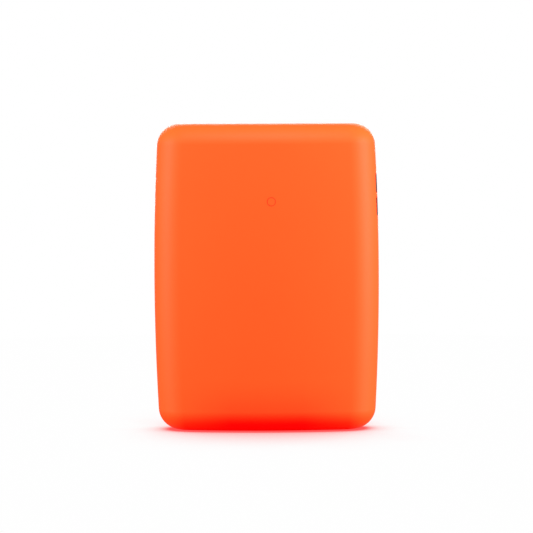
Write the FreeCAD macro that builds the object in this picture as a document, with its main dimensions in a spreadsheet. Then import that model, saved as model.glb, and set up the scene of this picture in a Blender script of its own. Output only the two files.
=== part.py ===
import FreeCAD, Part
import math
import os

import Sketcher

# A hand-sized power bank: a sealed two-part case with a crowned front, four cylindrical cells side by
# side, a control board above them, two USB-C sockets in the right side and a push button on top.
# Millimetres. X is right, Y is back and Z is up. The origin is the middle of the face it stands on.

Vector = FreeCAD.Vector

SIZES = {
    # case
    "case_width": 100.0, "case_height": 136.0, "case_depth": 30.0, "wall": 2.0,
    "side_bulge": 2.1, "front_crown": 1.0, "crown_radius": 180.0, "end_radius": 9.2, "parting_y": 4.0,
    "tongue_height": 1.5, "tongue_thickness": 1.0, "tongue_gap": 0.1, "rim_height": 3.0,
    "seal_inset": 0.8, "seal_width": 1.0, "seal_depth": 0.8, "seal_gap": 0.05,
    "snap_length": 10.0, "snap_height": 0.8, "snap_reach": 0.4,
    "rib_thickness": 1.2, "mark_radius": 2.0, "mark_line": 0.35, "mark_depth": 0.15,
    "mark_x": 2.2, "mark_drop": 34.2,
    # clearances
    "running_gap": 0.08, "touch_gap": 0.05, "free_gap": 0.4,
    # cells
    "cell_radius": 10.6, "cell_length": 70.0, "cell_gap": 0.2, "cell_base_z": 8.0, "cell_y": 1.8,
    "wrap_thickness": 0.12, "wrap_gap": 0.03, "cell_cap_radius": 4.0, "cell_chamfer": 0.8,
    "crimp_width": 1.05, "washer_thickness": 0.25, "washer_overlap": 1.0,
    # cell holders and strips
    "holder_plate": 1.6, "holder_rib": 6.0, "holder_depth": 16.0, "window_radius": 6.0,
    "strip_thickness": 0.2, "strip_width": 8.0, "tab_width": 5.0, "tab_reach": 11.2,
    # board
    "board_thickness": 1.6, "board_half_width": 31.0, "board_rise": 4.5, "board_drop": 7.0,
    "ear_inset": 1.6, "ear_margin": 3.2, "board_screw_x": 28.0, "board_screw_edge": 3.5,
    "board_boss_radius": 2.5, "board_hole_radius": 1.1,
    "board_screw_radius": 1.0, "board_screw_grip": 6.0, "pilot_radius": 1.05,
    # case screws
    "case_screw_x": 35.0, "case_screw_rise": 6.0, "case_screw_drop": 14.0,
    "case_boss_radius": 3.2, "case_screw_radius": 1.25, "case_hole_radius": 1.4,
    "head_radius": 2.2, "head_height": 1.6, "head_seat": 2.5, "head_hole_radius": 2.5,
    "insert_radius": 1.9, "insert_length": 4.0, "case_screw_grip": 3.6, "plug_thickness": 2.0,
    # ports
    "port_y": 1.0, "port_top_drop": 26.6, "port_pitch": 10.25,
    "usb_width": 8.94, "usb_height": 3.26, "usb_length": 7.35, "usb_sheet": 0.3, "usb_mouth_inset": 2.0,
    "lip_thickness": 0.42, "tongue_width": 6.69, "tongue_blade": 0.7, "tongue_length": 4.45,
    "contact_pitch": 0.5, "contact_width": 0.25, "contact_thickness": 0.06,
    # button, switch and lights
    "button_x": 10.75, "button_y": -1.4, "button_length": 14.0, "button_width": 5.0,
    "button_recess": 0.15, "button_travel": 0.3, "flange_margin": 0.7, "flange_thickness": 0.8,
    "stem_radius": 1.2, "stem_y": 0.5, "switch_length": 7.2, "switch_depth": 3.5, "switch_rise": 3.5,
    "switch_drop": 0.3, "plunger_length": 2.8, "plunger_width": 1.6, "plunger_rise": 1.2,
    "plunger_root": 1.2, "light_pitch": 4.5, "light_first_x": -17.75, "pipe_radius": 0.9,
    "pipe_bar": 1.3, "pipe_lift": 1.0, "led_length": 3.0, "led_depth": 1.2, "led_rise": 1.3,
    # board components
    "coil_width": 9.5, "coil_depth": 5.0, "coil_x": -14.0, "coil_pitch": 11.0,
    "chip_depth": 0.9, "controller_width": 6.0, "charger_width": 4.0, "protection_width": 3.6,
    "shunt_width": 6.3, "shunt_height": 3.2, "capacitor_radius": 3.15, "capacitor_height": 7.5,
    "capacitor_x": 22.0, "capacitor_pitch": 8.0,
    "ceramic_width": 3.2, "ceramic_height": 1.8, "ceramic_depth": 1.6,
    "resistor_width": 1.6, "resistor_height": 0.8, "resistor_depth": 0.5,
    "transistor_width": 5.0, "transistor_height": 6.0, "transistor_depth": 1.0,
    "spreader_half_width": 14.0, "spreader_thickness": 1.5, "thermal_pad_thickness": 1.0,
    "fin_pitch": 4.0, "fin_width": 1.2, "fin_height": 3.5,
    # foam
    "pad_half_width": 7.0, "pad_wrap": 1.6, "pad_low_z": 22.0, "pad_high_z": 64.0,
    "strip_half_width": 4.5, "strip_low_z": 20.0, "strip_high_z": 66.0,
    "bumper_half_width": 28.0, "bumper_front": -2.0,
    # wires
    "wire_radius": 1.15, "lead_radius": 0.5, "wire_x": -16.0, "wire_pitch": 4.0, "wire_y": -0.4,
    "plug_rise": 12.5, "plug_length": 7.0,
    "plug_reach": 2.4, "plug_wall": 0.8, "bead_z": 60.0, "lead_pitch": 1.5,
    # the back is skimmed by this much, so that it is one true plane
    "back_skim": 0.01,
}

doc = FreeCAD.newDocument("power_bank")
sheet = doc.addObject("Spreadsheet::Sheet", "Sizes")


class Size:
    """A length with its value and its formula in the sheet, so that one sum gives both."""

    def __init__(self, value, text):
        self.value = value
        self.text = text

    def join(self, other, sign, value):
        return Size(value, "(%s %s %s)" % (self.text, sign, formula(other)))

    def __add__(self, other):
        return self.join(other, "+", self.value + number(other))

    def __sub__(self, other):
        return self.join(other, "-", self.value - number(other))

    def __mul__(self, other):
        return self.join(other, "*", self.value * number(other))

    def __truediv__(self, other):
        return self.join(other, "/", self.value / number(other))

    def __radd__(self, other):
        return Size(number(other), formula(other)) + self

    def __rsub__(self, other):
        return Size(number(other), formula(other)) - self

    def __rmul__(self, other):
        return self * other

    def __neg__(self):
        return self * -1

    def __float__(self):
        return self.value


def number(size):
    return size.value if isinstance(size, Size) else float(size)


def formula(size):
    return size.text if isinstance(size, Size) else "%.6g" % size


def fill_sheet():
    names = {}
    for row, (name, value) in enumerate(SIZES.items(), start=1):
        sheet.set("A%d" % row, name)
        sheet.set("B%d" % row, "%g" % value)
        sheet.setAlias("B%d" % row, name)
        names[name] = Size(value, "Sizes." + name)
    doc.recompute()
    return names


class Names:
    """The sheet's sizes as attributes."""

    def __init__(self, table):
        self.__dict__.update(table)


s = Names(fill_sheet())
parts = []


def bind(target, prop, size):
    """Ties a property to the sheet, and gives a plain number as it is."""
    if isinstance(size, Size):
        target.setExpression(prop, size.text)
    else:
        target.setExpression(prop, "%.6g" % size)


def place(target, x=0, y=0, z=0, rotation=None):
    target.Placement = FreeCAD.Placement(Vector(number(x), number(y), number(z)),
                                         rotation or FreeCAD.Rotation())
    for axis, size in (("x", x), ("y", y), ("z", z)):
        if isinstance(size, Size):
            bind(target, "Placement.Base." + axis, size)


def keep(target, label):
    """Names a finished piece, which is then written out."""
    target.Label = label
    parts.append(target)
    return target


ALONG_X = FreeCAD.Rotation(Vector(0, 1, 0), 90)
ALONG_Y = FreeCAD.Rotation(Vector(1, 0, 0), -90)


def block(name, low, high):
    """A box between two corners."""
    made = doc.addObject("Part::Box", name)
    for prop, near, far in zip(("Length", "Width", "Height"), low, high):
        bind(made, prop, far - near)
    place(made, *low)
    return made


def rod(name, radius, length, x, y, z, rotation=None):
    """A cylinder from a point along Z, or along the axis that the rotation gives."""
    made = doc.addObject("Part::Cylinder", name)
    bind(made, "Radius", radius)
    bind(made, "Height", length)
    place(made, x, y, z, rotation)
    return made


def obround(name, width, height, length, x, y, z, along):
    """A bar with round short sides, whose long side runs along Z (along X) or X (along Z)."""
    radius = height / 2
    reach = width / 2 - radius
    if along == "x":
        ends = [(x, y, z - reach), (x, y, z + reach)]
        middle = block(name + "_middle", (x, y - radius, z - reach), (x + length, y + radius, z + reach))
        rotation = ALONG_X
    else:
        ends = [(x - reach, y, z), (x + reach, y, z)]
        middle = block(name + "_middle", (x - reach, y - radius, z), (x + reach, y + radius, z + length))
        rotation = None
    rods = [rod("%s_end%d" % (name, i), radius, length, *end, rotation) for i, end in enumerate(ends)]
    return fuse(name, [middle] + rods)


def fuse(name, pieces):
    made = doc.addObject("Part::MultiFuse", name)
    made.Shapes = pieces
    made.Refine = True
    return made


def common(name, pieces):
    made = doc.addObject("Part::MultiCommon", name)
    made.Shapes = pieces
    made.Refine = True
    return made


def cut(name, base, *tools):
    for i, tool in enumerate(tools):
        made = doc.addObject("Part::Cut", "%s_%d" % (name, i) if i < len(tools) - 1 else name)
        made.Base = base
        made.Tool = tool
        base = made
    return base


def group(name, pieces):
    made = doc.addObject("Part::Compound", name)
    made.Links = pieces
    return made


def sketch_on(body, name, role, offset=0):
    """A sketch on one of the body's own origin planes, moved along the plane's normal."""
    made = body.newObject("Sketcher::SketchObject", name)
    plane = [f for f in body.Origin.OriginFeatures if f.Role == role][0]
    made.AttachmentSupport = [(plane, "")]
    made.MapMode = "FlatFace"
    made.AttachmentOffset = FreeCAD.Placement(Vector(0, 0, number(offset)), FreeCAD.Rotation())
    if isinstance(offset, Size):
        bind(made, "AttachmentOffset.Base.z", offset)
    return made


def outline(sketch, points):
    """A closed outline of straight sides, with every corner tied to the sheet."""
    first = sketch.GeometryCount
    corners = [Vector(number(a), number(b), 0) for a, b in points]
    count = len(corners)
    for i in range(count):
        sketch.addGeometry(Part.LineSegment(corners[i], corners[(i + 1) % count]), False)
    for i in range(count):
        sketch.addConstraint(Sketcher.Constraint("Coincident", first + i, 2, first + (i + 1) % count, 1))
        for kind, size in zip(("DistanceX", "DistanceY"), points[i]):
            index = sketch.addConstraint(Sketcher.Constraint(kind, -1, 1, first + i, 1, number(size)))
            if isinstance(size, Size):
                bind(sketch, "Constraints[%d]" % index, size)


def circle(sketch, x, y, radius):
    geo = sketch.addGeometry(Part.Circle(Vector(number(x), number(y), 0), Vector(0, 0, 1), number(radius)))
    for kind, size in (("DistanceX", x), ("DistanceY", y)):
        index = sketch.addConstraint(Sketcher.Constraint(kind, -1, 1, geo, 3, number(size)))
        bind(sketch, "Constraints[%d]" % index, size)
    index = sketch.addConstraint(Sketcher.Constraint("Radius", geo, number(radius)))
    bind(sketch, "Constraints[%d]" % index, radius)


def rectangle(sketch, x0, y0, x1, y1):
    outline(sketch, [(x0, y0), (x1, y0), (x1, y1), (x0, y1)])


def pad(body, sketch, length, backwards=False):
    made = body.newObject("PartDesign::Pad", sketch.Name + "_pad")
    made.Profile = sketch
    bind(made, "Length", length)
    made.Reversed = backwards
    body.Tip = made
    return made


def pocket(body, sketch, length, backwards=False):
    made = body.newObject("PartDesign::Pocket", sketch.Name + "_pocket")
    made.Profile = sketch
    bind(made, "Length", length)
    made.Reversed = backwards
    body.Tip = made
    return made


def turned(name, points, x, y, z, rotation=None):
    """A body turned about its own Z axis from an outline of (radius, height) corners."""
    body = doc.addObject("PartDesign::Body", name)
    profile = sketch_on(body, name + "_profile", "XZ_Plane")
    outline(profile, points)
    made = body.newObject("PartDesign::Revolution", name + "_turn")
    made.Profile = profile
    made.ReferenceAxis = (profile, ["V_Axis"])
    made.Angle = 360
    body.Tip = made
    place(body, x, y, z, rotation)
    return body


# ---------------------------------------------------------------- places worked out from the sizes

def half_width_at(z, inset=0.0):
    """Half the case's width at a height: the sides bulge as one long arc."""
    rise = (z - s.case_height.value / 2) / (s.case_height.value / 2)
    return s.case_width.value / 2 - s.side_bulge.value * rise ** 2 - inset


def front_reach_at(z, inset=0.0):
    """How far the front stands forward of the origin plane at a height."""
    rise = (z - s.case_height.value / 2) / (s.case_height.value / 2)
    return s.case_depth.value / 2 - s.front_crown.value * rise ** 2 - inset


cell_pitch = s.cell_radius * 2 + s.cell_gap
cell_xs = [cell_pitch * k for k in (-1.5, -0.5, 0.5, 1.5)]
cell_top_z = s.cell_base_z + s.cell_length
can_radius = s.cell_radius - s.wrap_thickness - s.wrap_gap
vent_radius = can_radius - s.cell_chamfer - s.crimp_width
channel_x = (cell_xs[0] + cell_xs[1]) / 2
negative_z = s.cell_base_z - s.strip_thickness
holder_base_z = negative_z - s.holder_plate
holder_front = s.cell_y - s.holder_depth / 2
holder_back = s.cell_y + s.holder_depth / 2
port_zs = {"upper": s.case_height - s.port_top_drop,
           "lower": s.case_height - s.port_top_drop - s.port_pitch}
usb_mouth_x = s.case_width / 2 - s.usb_mouth_inset
ear_edge_x = usb_mouth_x - s.ear_inset
board_base_z = cell_top_z + s.board_rise
board_top_z = s.case_height - s.board_drop
plug_base_z = cell_top_z + s.plug_rise
pipe_bar_z = board_top_z + s.pipe_lift
board_front = s.port_y + s.usb_height / 2
board_back = board_front + s.board_thickness
board_screws = [(sx * s.board_screw_x, z) for sx in (-1, 1)
                for z in (board_base_z + s.board_screw_edge, board_top_z - s.board_screw_edge)]
case_screws = [(sx * s.case_screw_x, z) for sx in (-1, 1)
               for z in (cell_top_z + s.case_screw_rise, s.case_height - s.case_screw_drop)]
light_xs = [s.light_first_x + k * s.light_pitch for k in range(4)]
inner_top_z = s.case_height - s.wall
lip_grow = s.touch_gap * 2.6


# ---------------------------------------------------------------- case

def case_section(z, inset):
    """One level outline of the case: a long crown in front, round sides and a flat back."""
    side = half_width_at(z, inset)
    front = front_reach_at(z, inset)
    back = s.case_depth.value / 2 - inset + s.back_skim.value
    parting = s.parting_y.value
    crown = s.crown_radius.value - inset
    rear_round = back - parting
    front_round = (crown ** 2 - side ** 2 - (crown - front - parting) ** 2) / (2 * (crown - side))
    crown_y = crown - front
    round_x = side - front_round
    slope = math.atan2(crown_y - parting, -round_x)
    join = Vector(-crown * math.cos(slope), crown_y - crown * math.sin(slope), z)
    half_turn = math.atan2(join.y - parting, join.x - round_x) / 2
    bend = Vector(round_x + front_round * math.cos(half_turn), parting + front_round * math.sin(half_turn), z)
    diagonal = rear_round * math.sqrt(0.5)
    rear_bend = Vector(side - rear_round + diagonal, parting + diagonal, z)

    def mirrored(point):
        return Vector(-point.x, point.y, z)

    widest = Vector(side, parting, z)
    rear = Vector(side - rear_round, back, z)
    edges = [
        Part.LineSegment(mirrored(rear), rear),
        Part.Arc(rear, rear_bend, widest),
        Part.Arc(widest, bend, join),
        Part.Arc(join, Vector(0, -front, z), mirrored(join)),
        Part.Arc(mirrored(join), mirrored(bend), mirrored(widest)),
        Part.Arc(mirrored(widest), mirrored(rear_bend), mirrored(rear)),
    ]
    return Part.Wire([edge.toShape() for edge in edges])


def case_blank(name, inset):
    """The case's outer form drawn in by an inset, with round edges at both ends."""
    depth = number(inset)
    height = s.case_height.value - 2 * depth
    levels = [depth + height * k / 4 for k in range(5)]
    body = Part.makeLoft([case_section(z, depth) for z in levels], True)
    ends = [edge for edge in body.Edges if edge.BoundBox.ZLength < 1e-6]
    made = doc.addObject("Part::Feature", name)
    made.Shape = body.makeFillet(s.end_radius.value - depth, ends)
    return made


def slab(name, y0, y1):
    """The space between two depths, larger than the case all round."""
    side = s.case_width * 0.75
    return block(name, (-side, y0, -s.end_radius), (side, y1, s.case_height + s.end_radius))


def snap_bars(prefix, grow):
    """Short bars along both sides that catch in pockets in the front shell's wall."""
    inset = number(s.wall + s.tongue_gap)
    y0 = s.parting_y - s.tongue_height - grow
    bars = []
    for side in (-1, 1):
        for share in (0.16, 0.3, 0.44):
            z = s.case_height * share
            edge = half_width_at(number(z), inset)
            root = side * (edge - number(s.tongue_gap) * 3)
            tip = side * (edge + number(s.snap_reach + grow))
            near, far = sorted((root, tip))
            bars.append(block("%s_%d" % (prefix, len(bars)), (near, y0, z - s.snap_length / 2 - grow),
                              (far, y0 + s.snap_height + grow * 2, z + s.snap_length / 2 + grow)))
    return bars


def port_holes(prefix, grow, x0, length):
    return [obround("%s_%s" % (prefix, name), s.usb_width + grow * 2, s.usb_height + grow * 2, length,
                    x0, s.port_y, z, "x") for name, z in port_zs.items()]


def boss(name, x, z, radius, y0, y1):
    return rod(name, radius, y1 - y0, x, y0, z, ALONG_Y)


def posts(prefix, places, radius, y0, y1):
    return [boss("%s_%d" % (prefix, i), x, z, radius, y0, y1) for i, (x, z) in enumerate(places)]


def front_shell():
    """The deep front half, with its bosses, ribs, button hole, light holes and port holes."""
    front = -s.case_depth / 2
    half = common("front_half", [outer, slab("front_space", front * 1.2, s.parting_y)])
    wall = cut("front_wall", half, inner)
    inside = posts("board_boss", board_screws, s.board_boss_radius, front, board_front)
    inside += posts("case_boss", case_screws, s.case_boss_radius, front, s.parting_y)
    for i, x in enumerate((0.0, cell_pitch)):
        inside.append(block("front_rib_%d" % i, (x - s.rib_thickness / 2, front, s.cell_base_z * 2),
                            (x + s.rib_thickness / 2, holder_front - s.free_gap / 2,
                             cell_top_z - s.cell_base_z)))
    filled = fuse("front_filled", [wall, common("front_inside", [fuse("front_bosses", inside), outer])])
    holes = posts("pilot", board_screws, s.pilot_radius, board_front - s.board_screw_grip - 1, board_front)
    holes += posts("insert_seat", case_screws, s.insert_radius + s.touch_gap,
                   s.parting_y - s.insert_length - 1, s.parting_y)
    holes += port_holes("port_hole", lip_grow + s.touch_gap, usb_mouth_x - 3 * s.wall, s.wall * 6)
    holes.append(obround("button_hole", s.button_length, s.button_width, s.wall * 3,
                         s.button_x, s.button_y, s.case_height - s.wall * 1.5, "z"))
    for i, x in enumerate(light_xs):
        holes.append(rod("light_hole_%d" % i, s.pipe_radius + s.touch_gap, s.wall * 3,
                         x, s.button_y, s.case_height - s.wall * 1.5))
    holes += snap_bars("snap_pocket", s.touch_gap * 2)
    relief = s.cell_radius + s.touch_gap
    holes += [rod("cell_relief_%d" % i, relief, s.cell_length, x, s.cell_y, s.cell_base_z)
              for i, x in enumerate(cell_xs)]
    return keep(cut("front_shell_body", filled, group("front_holes", holes), mark_ring()), "front_shell")


def mark_ring():
    """A shallow plain ring pressed into the front face."""
    z = s.case_height - s.mark_drop
    floor = s.mark_depth + number(s.mark_x) ** 2 / (2 * s.crown_radius.value) - front_reach_at(number(z))
    ring_start = -s.case_depth / 2 - s.wall
    outside = boss("mark_outside", s.mark_x, z, s.mark_radius, ring_start, floor)
    inside = boss("mark_inside", s.mark_x, z, s.mark_radius - s.mark_line, ring_start, floor)
    return cut("mark_groove", outside, inside)


def rear_cover():
    """The shallow rear half, with its tongue, seal groove, ribs and screw bosses."""
    back = s.case_depth / 2
    tongue_out = s.wall + s.tongue_gap
    tongue_in = tongue_out + s.tongue_thickness
    rim_core = case_blank("rim_core", tongue_in)
    tongue_form = case_blank("tongue_form", tongue_out)
    half = common("rear_half", [outer, slab("rear_space", s.parting_y, back)])
    shell = cut("rear_wall", half, inner)
    rim_space = slab("rim_space", s.parting_y, s.parting_y + s.rim_height)
    rim = cut("rear_rim", common("rim_band", [outer, rim_space]), rim_core)
    tongue = cut("rear_tongue", common("tongue_band", [tongue_form, slab(
        "tongue_space", s.parting_y - s.tongue_height, s.parting_y + s.tongue_gap)]), rim_core)
    inside = posts("cover_boss", case_screws, s.case_boss_radius, s.parting_y, back)
    for i, x in enumerate((cell_xs[0] / 2 + cell_xs[1] / 2, cell_xs[2] / 2 + cell_xs[3] / 2)):
        inside.append(block("rear_rib_%d" % i, (x - s.rib_thickness / 2, holder_back + s.free_gap / 2,
                                                s.cell_base_z * 1.5),
                            (x + s.rib_thickness / 2, back, cell_top_z - s.cell_base_z)))
    solid = [shell, rim, tongue, common("rear_inside", [fuse("rear_bosses", inside), half])]
    filled = fuse("rear_filled", solid + snap_bars("snap_bar", 0.0))
    seat_y = s.parting_y + s.head_seat
    holes = posts("screw_hole", case_screws, s.case_hole_radius, s.parting_y - 1, back)
    holes += posts("head_hole", case_screws, s.head_hole_radius, seat_y, back * 1.2)
    margin = s.usb_width / 2 + s.ear_margin
    holes.append(block("port_notch", (ear_edge_x - s.ear_margin * 2, s.parting_y - s.tongue_height * 2,
                                      port_zs["lower"] - margin - s.free_gap),
                       (s.case_width, s.parting_y, port_zs["upper"] + margin + s.free_gap)))
    holes.append(block("ear_notch", (ear_edge_x - s.ear_margin * 2, s.parting_y - s.tongue_height,
                                     port_zs["lower"] - margin - s.free_gap),
                       (ear_edge_x + s.free_gap, board_back + s.free_gap * 2,
                        port_zs["upper"] + margin + s.free_gap)))
    groove = seal_ring("seal_groove", s.seal_inset, s.seal_width, s.seal_depth)
    return keep(cut("rear_cover_body", filled, group("rear_holes", holes), groove), "rear_cover")


def seal_ring(name, inset, width, depth):
    band = common(name + "_band", [case_blank(name + "_form", inset),
                                   slab(name + "_space", s.parting_y, s.parting_y + depth)])
    return cut(name, band, case_blank(name + "_core", inset + width))


def case_seal():
    return keep(seal_ring("case_seal_body", s.seal_inset + s.seal_gap, s.seal_width - s.seal_gap * 2,
                          s.seal_depth - s.seal_gap), "case_seal")


def machine_screw(name, radius, grip, head_radius, head_height, x, y, z):
    """A pan head screw whose head stands on a seat at y and whose point runs forward."""
    socket = head_radius * 0.45
    depth = head_height * 0.55
    points = [(0, -grip), (radius * 0.7, -grip), (radius, -grip + radius * 0.6), (radius, 0),
              (head_radius, 0), (head_radius, head_height * 0.6), (head_radius * 0.8, head_height),
              (socket, head_height), (socket * 0.8, head_height - depth), (0, head_height - depth)]
    return turned(name, points, x, y, z, ALONG_Y)


def case_fasteners():
    seat_y = s.parting_y + s.head_seat
    back = s.case_depth / 2
    screws, inserts, plugs = [], [], []
    for i, (x, z) in enumerate(case_screws):
        screws.append(machine_screw("case_screw_%d" % i, s.case_screw_radius, s.head_seat + s.case_screw_grip,
                                    s.head_radius, s.head_height, x, seat_y, z))
        bore = s.case_screw_radius + s.touch_gap
        inserts.append(turned("insert_%d" % i, [
            (bore, 0), (bore, s.insert_length), (s.insert_radius, s.insert_length),
            (s.insert_radius, s.insert_length * 0.6), (s.insert_radius * 0.9, s.insert_length * 0.55),
            (s.insert_radius * 0.9, s.insert_length * 0.45), (s.insert_radius, s.insert_length * 0.4),
            (s.insert_radius, 0)], x, s.parting_y - s.insert_length, z, ALONG_Y))
        rim = s.head_hole_radius - s.running_gap
        plugs.append(turned("plug_%d" % i, [
            (0, 0), (rim * 0.85, 0), (rim, s.plug_thickness * 0.2), (rim, s.plug_thickness * 0.9),
            (rim * 0.94, s.plug_thickness), (0, s.plug_thickness)], x, back - s.plug_thickness, z, ALONG_Y))
    keep(group("case_screw_set", screws), "case_screws")
    keep(group("insert_set", inserts), "threaded_inserts")
    keep(group("plug_set", plugs), "screw_plugs")


# ---------------------------------------------------------------- USB-C sockets

def usb_socket(place_name, z):
    """A receptacle: a sheet metal sleeve, a moulded core with its blade, and two rows of contacts."""
    back_x = usb_mouth_x - s.usb_length
    sheet_in = s.usb_sheet
    sleeve = obround("sleeve_" + place_name, s.usb_width, s.usb_height, s.usb_length,
                     back_x, s.port_y, z, "x")
    hollow = obround("hollow_" + place_name, s.usb_width - sheet_in * 2, s.usb_height - sheet_in * 2,
                     s.usb_length * 1.2, back_x - s.usb_length * 0.1, s.port_y, z, "x")
    keep(cut("usb_shell_%s_body" % place_name, sleeve, hollow), "usb_shell_" + place_name)
    core_length = s.usb_length - s.tongue_length - s.usb_sheet * 2
    fit = sheet_in + s.touch_gap
    core = obround("core_" + place_name, s.usb_width - fit * 2, s.usb_height - fit * 2, core_length,
                   back_x, s.port_y, z, "x")
    blade = block("blade_" + place_name,
                  (back_x + core_length / 2, s.port_y - s.tongue_blade / 2, z - s.tongue_width / 2),
                  (back_x + core_length + s.tongue_length, s.port_y + s.tongue_blade / 2,
                   z + s.tongue_width / 2))
    keep(fuse("usb_tongue_%s_body" % place_name, [core, blade]), "usb_tongue_" + place_name)
    strips = []
    for row, side in (("front", -1), ("back", 1)):
        near = s.port_y + side * (s.tongue_blade / 2)
        low, high = (near - s.contact_thickness, near) if side < 0 else (near, near + s.contact_thickness)
        for k in range(12):
            middle = z + s.contact_pitch * (k - 5.5)
            strips.append(block("contact_%s_%s_%d" % (place_name, row, k),
                                (back_x + core_length, low, middle - s.contact_width / 2),
                                (back_x + core_length + s.tongue_length * 0.86, high,
                                 middle + s.contact_width / 2)))
    keep(group("contacts_" + place_name, strips), "usb_contacts_" + place_name)


def port_lip(place_name, z):
    """The black rubber lip around a socket's mouth, flush with the case's side."""
    start = usb_mouth_x + s.touch_gap
    reach = s.wall * 2
    body = obround("lip_" + place_name, s.usb_width + lip_grow * 2, s.usb_height + lip_grow * 2, reach,
                   start, s.port_y, z, "x")
    inward = (s.lip_thickness - lip_grow) * 2
    mouth = obround("lip_mouth_" + place_name, s.usb_width - inward, s.usb_height - inward, reach * 2,
                    start - s.wall, s.port_y, z, "x")
    return keep(cut("port_lip_%s_body" % place_name, common("lip_flush_" + place_name, [body, outer]), mouth),
                "port_lip_" + place_name)


# ---------------------------------------------------------------- button, switch and lights

button_top_z = s.case_height - s.button_recess
flange_top_z = inner_top_z - s.running_gap * 2
plunger_top_z = board_top_z - s.switch_drop + s.plunger_rise


def power_button():
    cap_z = flange_top_z - s.flange_thickness
    cap = obround("button_cap", s.button_length - s.running_gap * 2, s.button_width - s.running_gap * 2,
                  button_top_z - cap_z, s.button_x, s.button_y, cap_z, "z")
    flange = obround("button_flange", s.button_length + s.flange_margin * 2,
                     s.button_width + s.flange_margin * 2, s.flange_thickness,
                     s.button_x, s.button_y, cap_z, "z")
    stem_z = plunger_top_z + s.touch_gap
    stem = rod("button_stem", s.stem_radius, cap_z - stem_z + s.flange_thickness / 2,
               s.button_x, s.stem_y, stem_z)
    return keep(fuse("power_button_body", [cap, flange, stem]), "power_button")


def tact_switch():
    """A side push switch that stands at the board's top edge and points up."""
    top = board_top_z - s.switch_drop
    middle_y = board_front - s.switch_depth / 2
    half = s.switch_length / 2
    body = block("switch_block", (s.button_x - half, board_front - s.switch_depth, top - s.switch_rise),
                 (s.button_x + half, board_front, top))
    slide = s.running_gap
    reach = s.plunger_length / 2
    depth = s.plunger_width / 2
    well = block("switch_well", (s.button_x - reach - slide, middle_y - depth - slide,
                                 top - s.plunger_root - s.button_travel - slide),
                 (s.button_x + reach + slide, middle_y + depth + slide, top + s.plunger_rise))
    keep(cut("switch_body_cut", body, well), "switch_body")
    keep(block("plunger_block", (s.button_x - reach, middle_y - depth, top - s.plunger_root),
               (s.button_x + reach, middle_y + depth, plunger_top_z)), "switch_plunger")


def light_pipe():
    """A clear bar over the lamps, with a round pin up into each hole in the case."""
    bar_back = board_front - s.free_gap
    bar = block("pipe_bar_block",
                (light_xs[0] - s.led_length / 2, s.button_y - s.pipe_radius * 1.2, pipe_bar_z),
                (light_xs[3] + s.led_length / 2, bar_back, pipe_bar_z + s.pipe_bar))
    pins = [rod("pipe_pin_%d" % i, s.pipe_radius, button_top_z - pipe_bar_z, x, s.button_y, pipe_bar_z)
            for i, x in enumerate(light_xs)]
    return keep(fuse("light_pipe_body", [bar] + pins), "light_pipe")


def indicator_leds():
    lamps = [block("led_%d" % i, (x - s.led_length / 2, board_front - s.led_depth, board_top_z - s.led_rise),
                   (x + s.led_length / 2, board_front, board_top_z)) for i, x in enumerate(light_xs)]
    return keep(group("led_set", lamps), "indicator_leds")


# ---------------------------------------------------------------- board

def main_board():
    """The board, with an ear at the right that carries the two sockets."""
    body = doc.addObject("PartDesign::Body", "main_board_body")
    margin = s.usb_width / 2 + s.ear_margin
    ear_low = port_zs["lower"] - margin
    ear_high = port_zs["upper"] + margin
    side = s.board_half_width
    profile = sketch_on(body, "board_profile", "XZ_Plane", -board_back)
    outline(profile, [(-side, board_base_z), (side, board_base_z), (side, ear_low), (ear_edge_x, ear_low),
                      (ear_edge_x, ear_high), (side, ear_high), (side, board_top_z), (-side, board_top_z)])
    pad(body, profile, s.board_thickness)
    holes = sketch_on(body, "board_holes", "XZ_Plane", -board_back)
    for x, z in board_screws:
        circle(holes, x, z, s.board_hole_radius)
    pocket(body, holes, s.board_thickness, backwards=True)
    return keep(body, "main_board")


def board_fasteners():
    radius = s.board_screw_radius
    grip = s.board_thickness + s.board_screw_grip
    screws = [machine_screw("board_screw_%d" % i, radius, grip, radius * 1.9, radius * 1.3, x, board_back, z)
              for i, (x, z) in enumerate(board_screws)]
    return keep(group("board_screw_set", screws), "board_screws")


def on_board(name, x, z, width, height, depth, lift=0):
    """A block soldered to the board's front face, about a centre."""
    return block(name, (x - width / 2, board_front - lift - depth, z - height / 2),
                 (x + width / 2, board_front - lift, z + height / 2))


def chip(label, x, z, width, depth):
    """A square chip with bevelled upper edges."""
    body = doc.addObject("PartDesign::Body", label + "_body")
    half = width / 2
    profile = sketch_on(body, label + "_profile", "XZ_Plane", -board_front)
    rectangle(profile, x - half, z - half, x + half, z + half)
    base = pad(body, profile, depth)
    doc.recompute()
    top = number(board_front - depth)
    names = ["Edge%d" % (i + 1) for i, edge in enumerate(base.Shape.Edges)
             if all(abs(corner.Point.y - top) < 1e-4 for corner in edge.Vertexes)]
    bevel = body.newObject("PartDesign::Chamfer", label + "_bevel")
    bevel.Base = (base, names)
    bind(bevel, "Size", depth * 0.2)
    body.Tip = bevel
    return keep(body, label)


def inductor(label, x, z, width, depth):
    """A shielded power coil: a square ferrite block whose corners are cut."""
    body = doc.addObject("PartDesign::Body", label + "_body")
    half = width / 2
    corner = width * 0.14
    profile = sketch_on(body, label + "_profile", "XZ_Plane", -board_front)
    flat = half - corner
    outline(profile, [(x - flat, z - half), (x + flat, z - half), (x + half, z - flat), (x + half, z + flat),
                      (x + flat, z + half), (x - flat, z + half), (x - half, z + flat), (x - half, z - flat)])
    pad(body, profile, depth)
    well = sketch_on(body, label + "_well", "XZ_Plane", depth - board_front)
    circle(well, x, z, width * 0.33)
    pocket(body, well, depth * 0.06)
    return keep(body, label)


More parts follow.
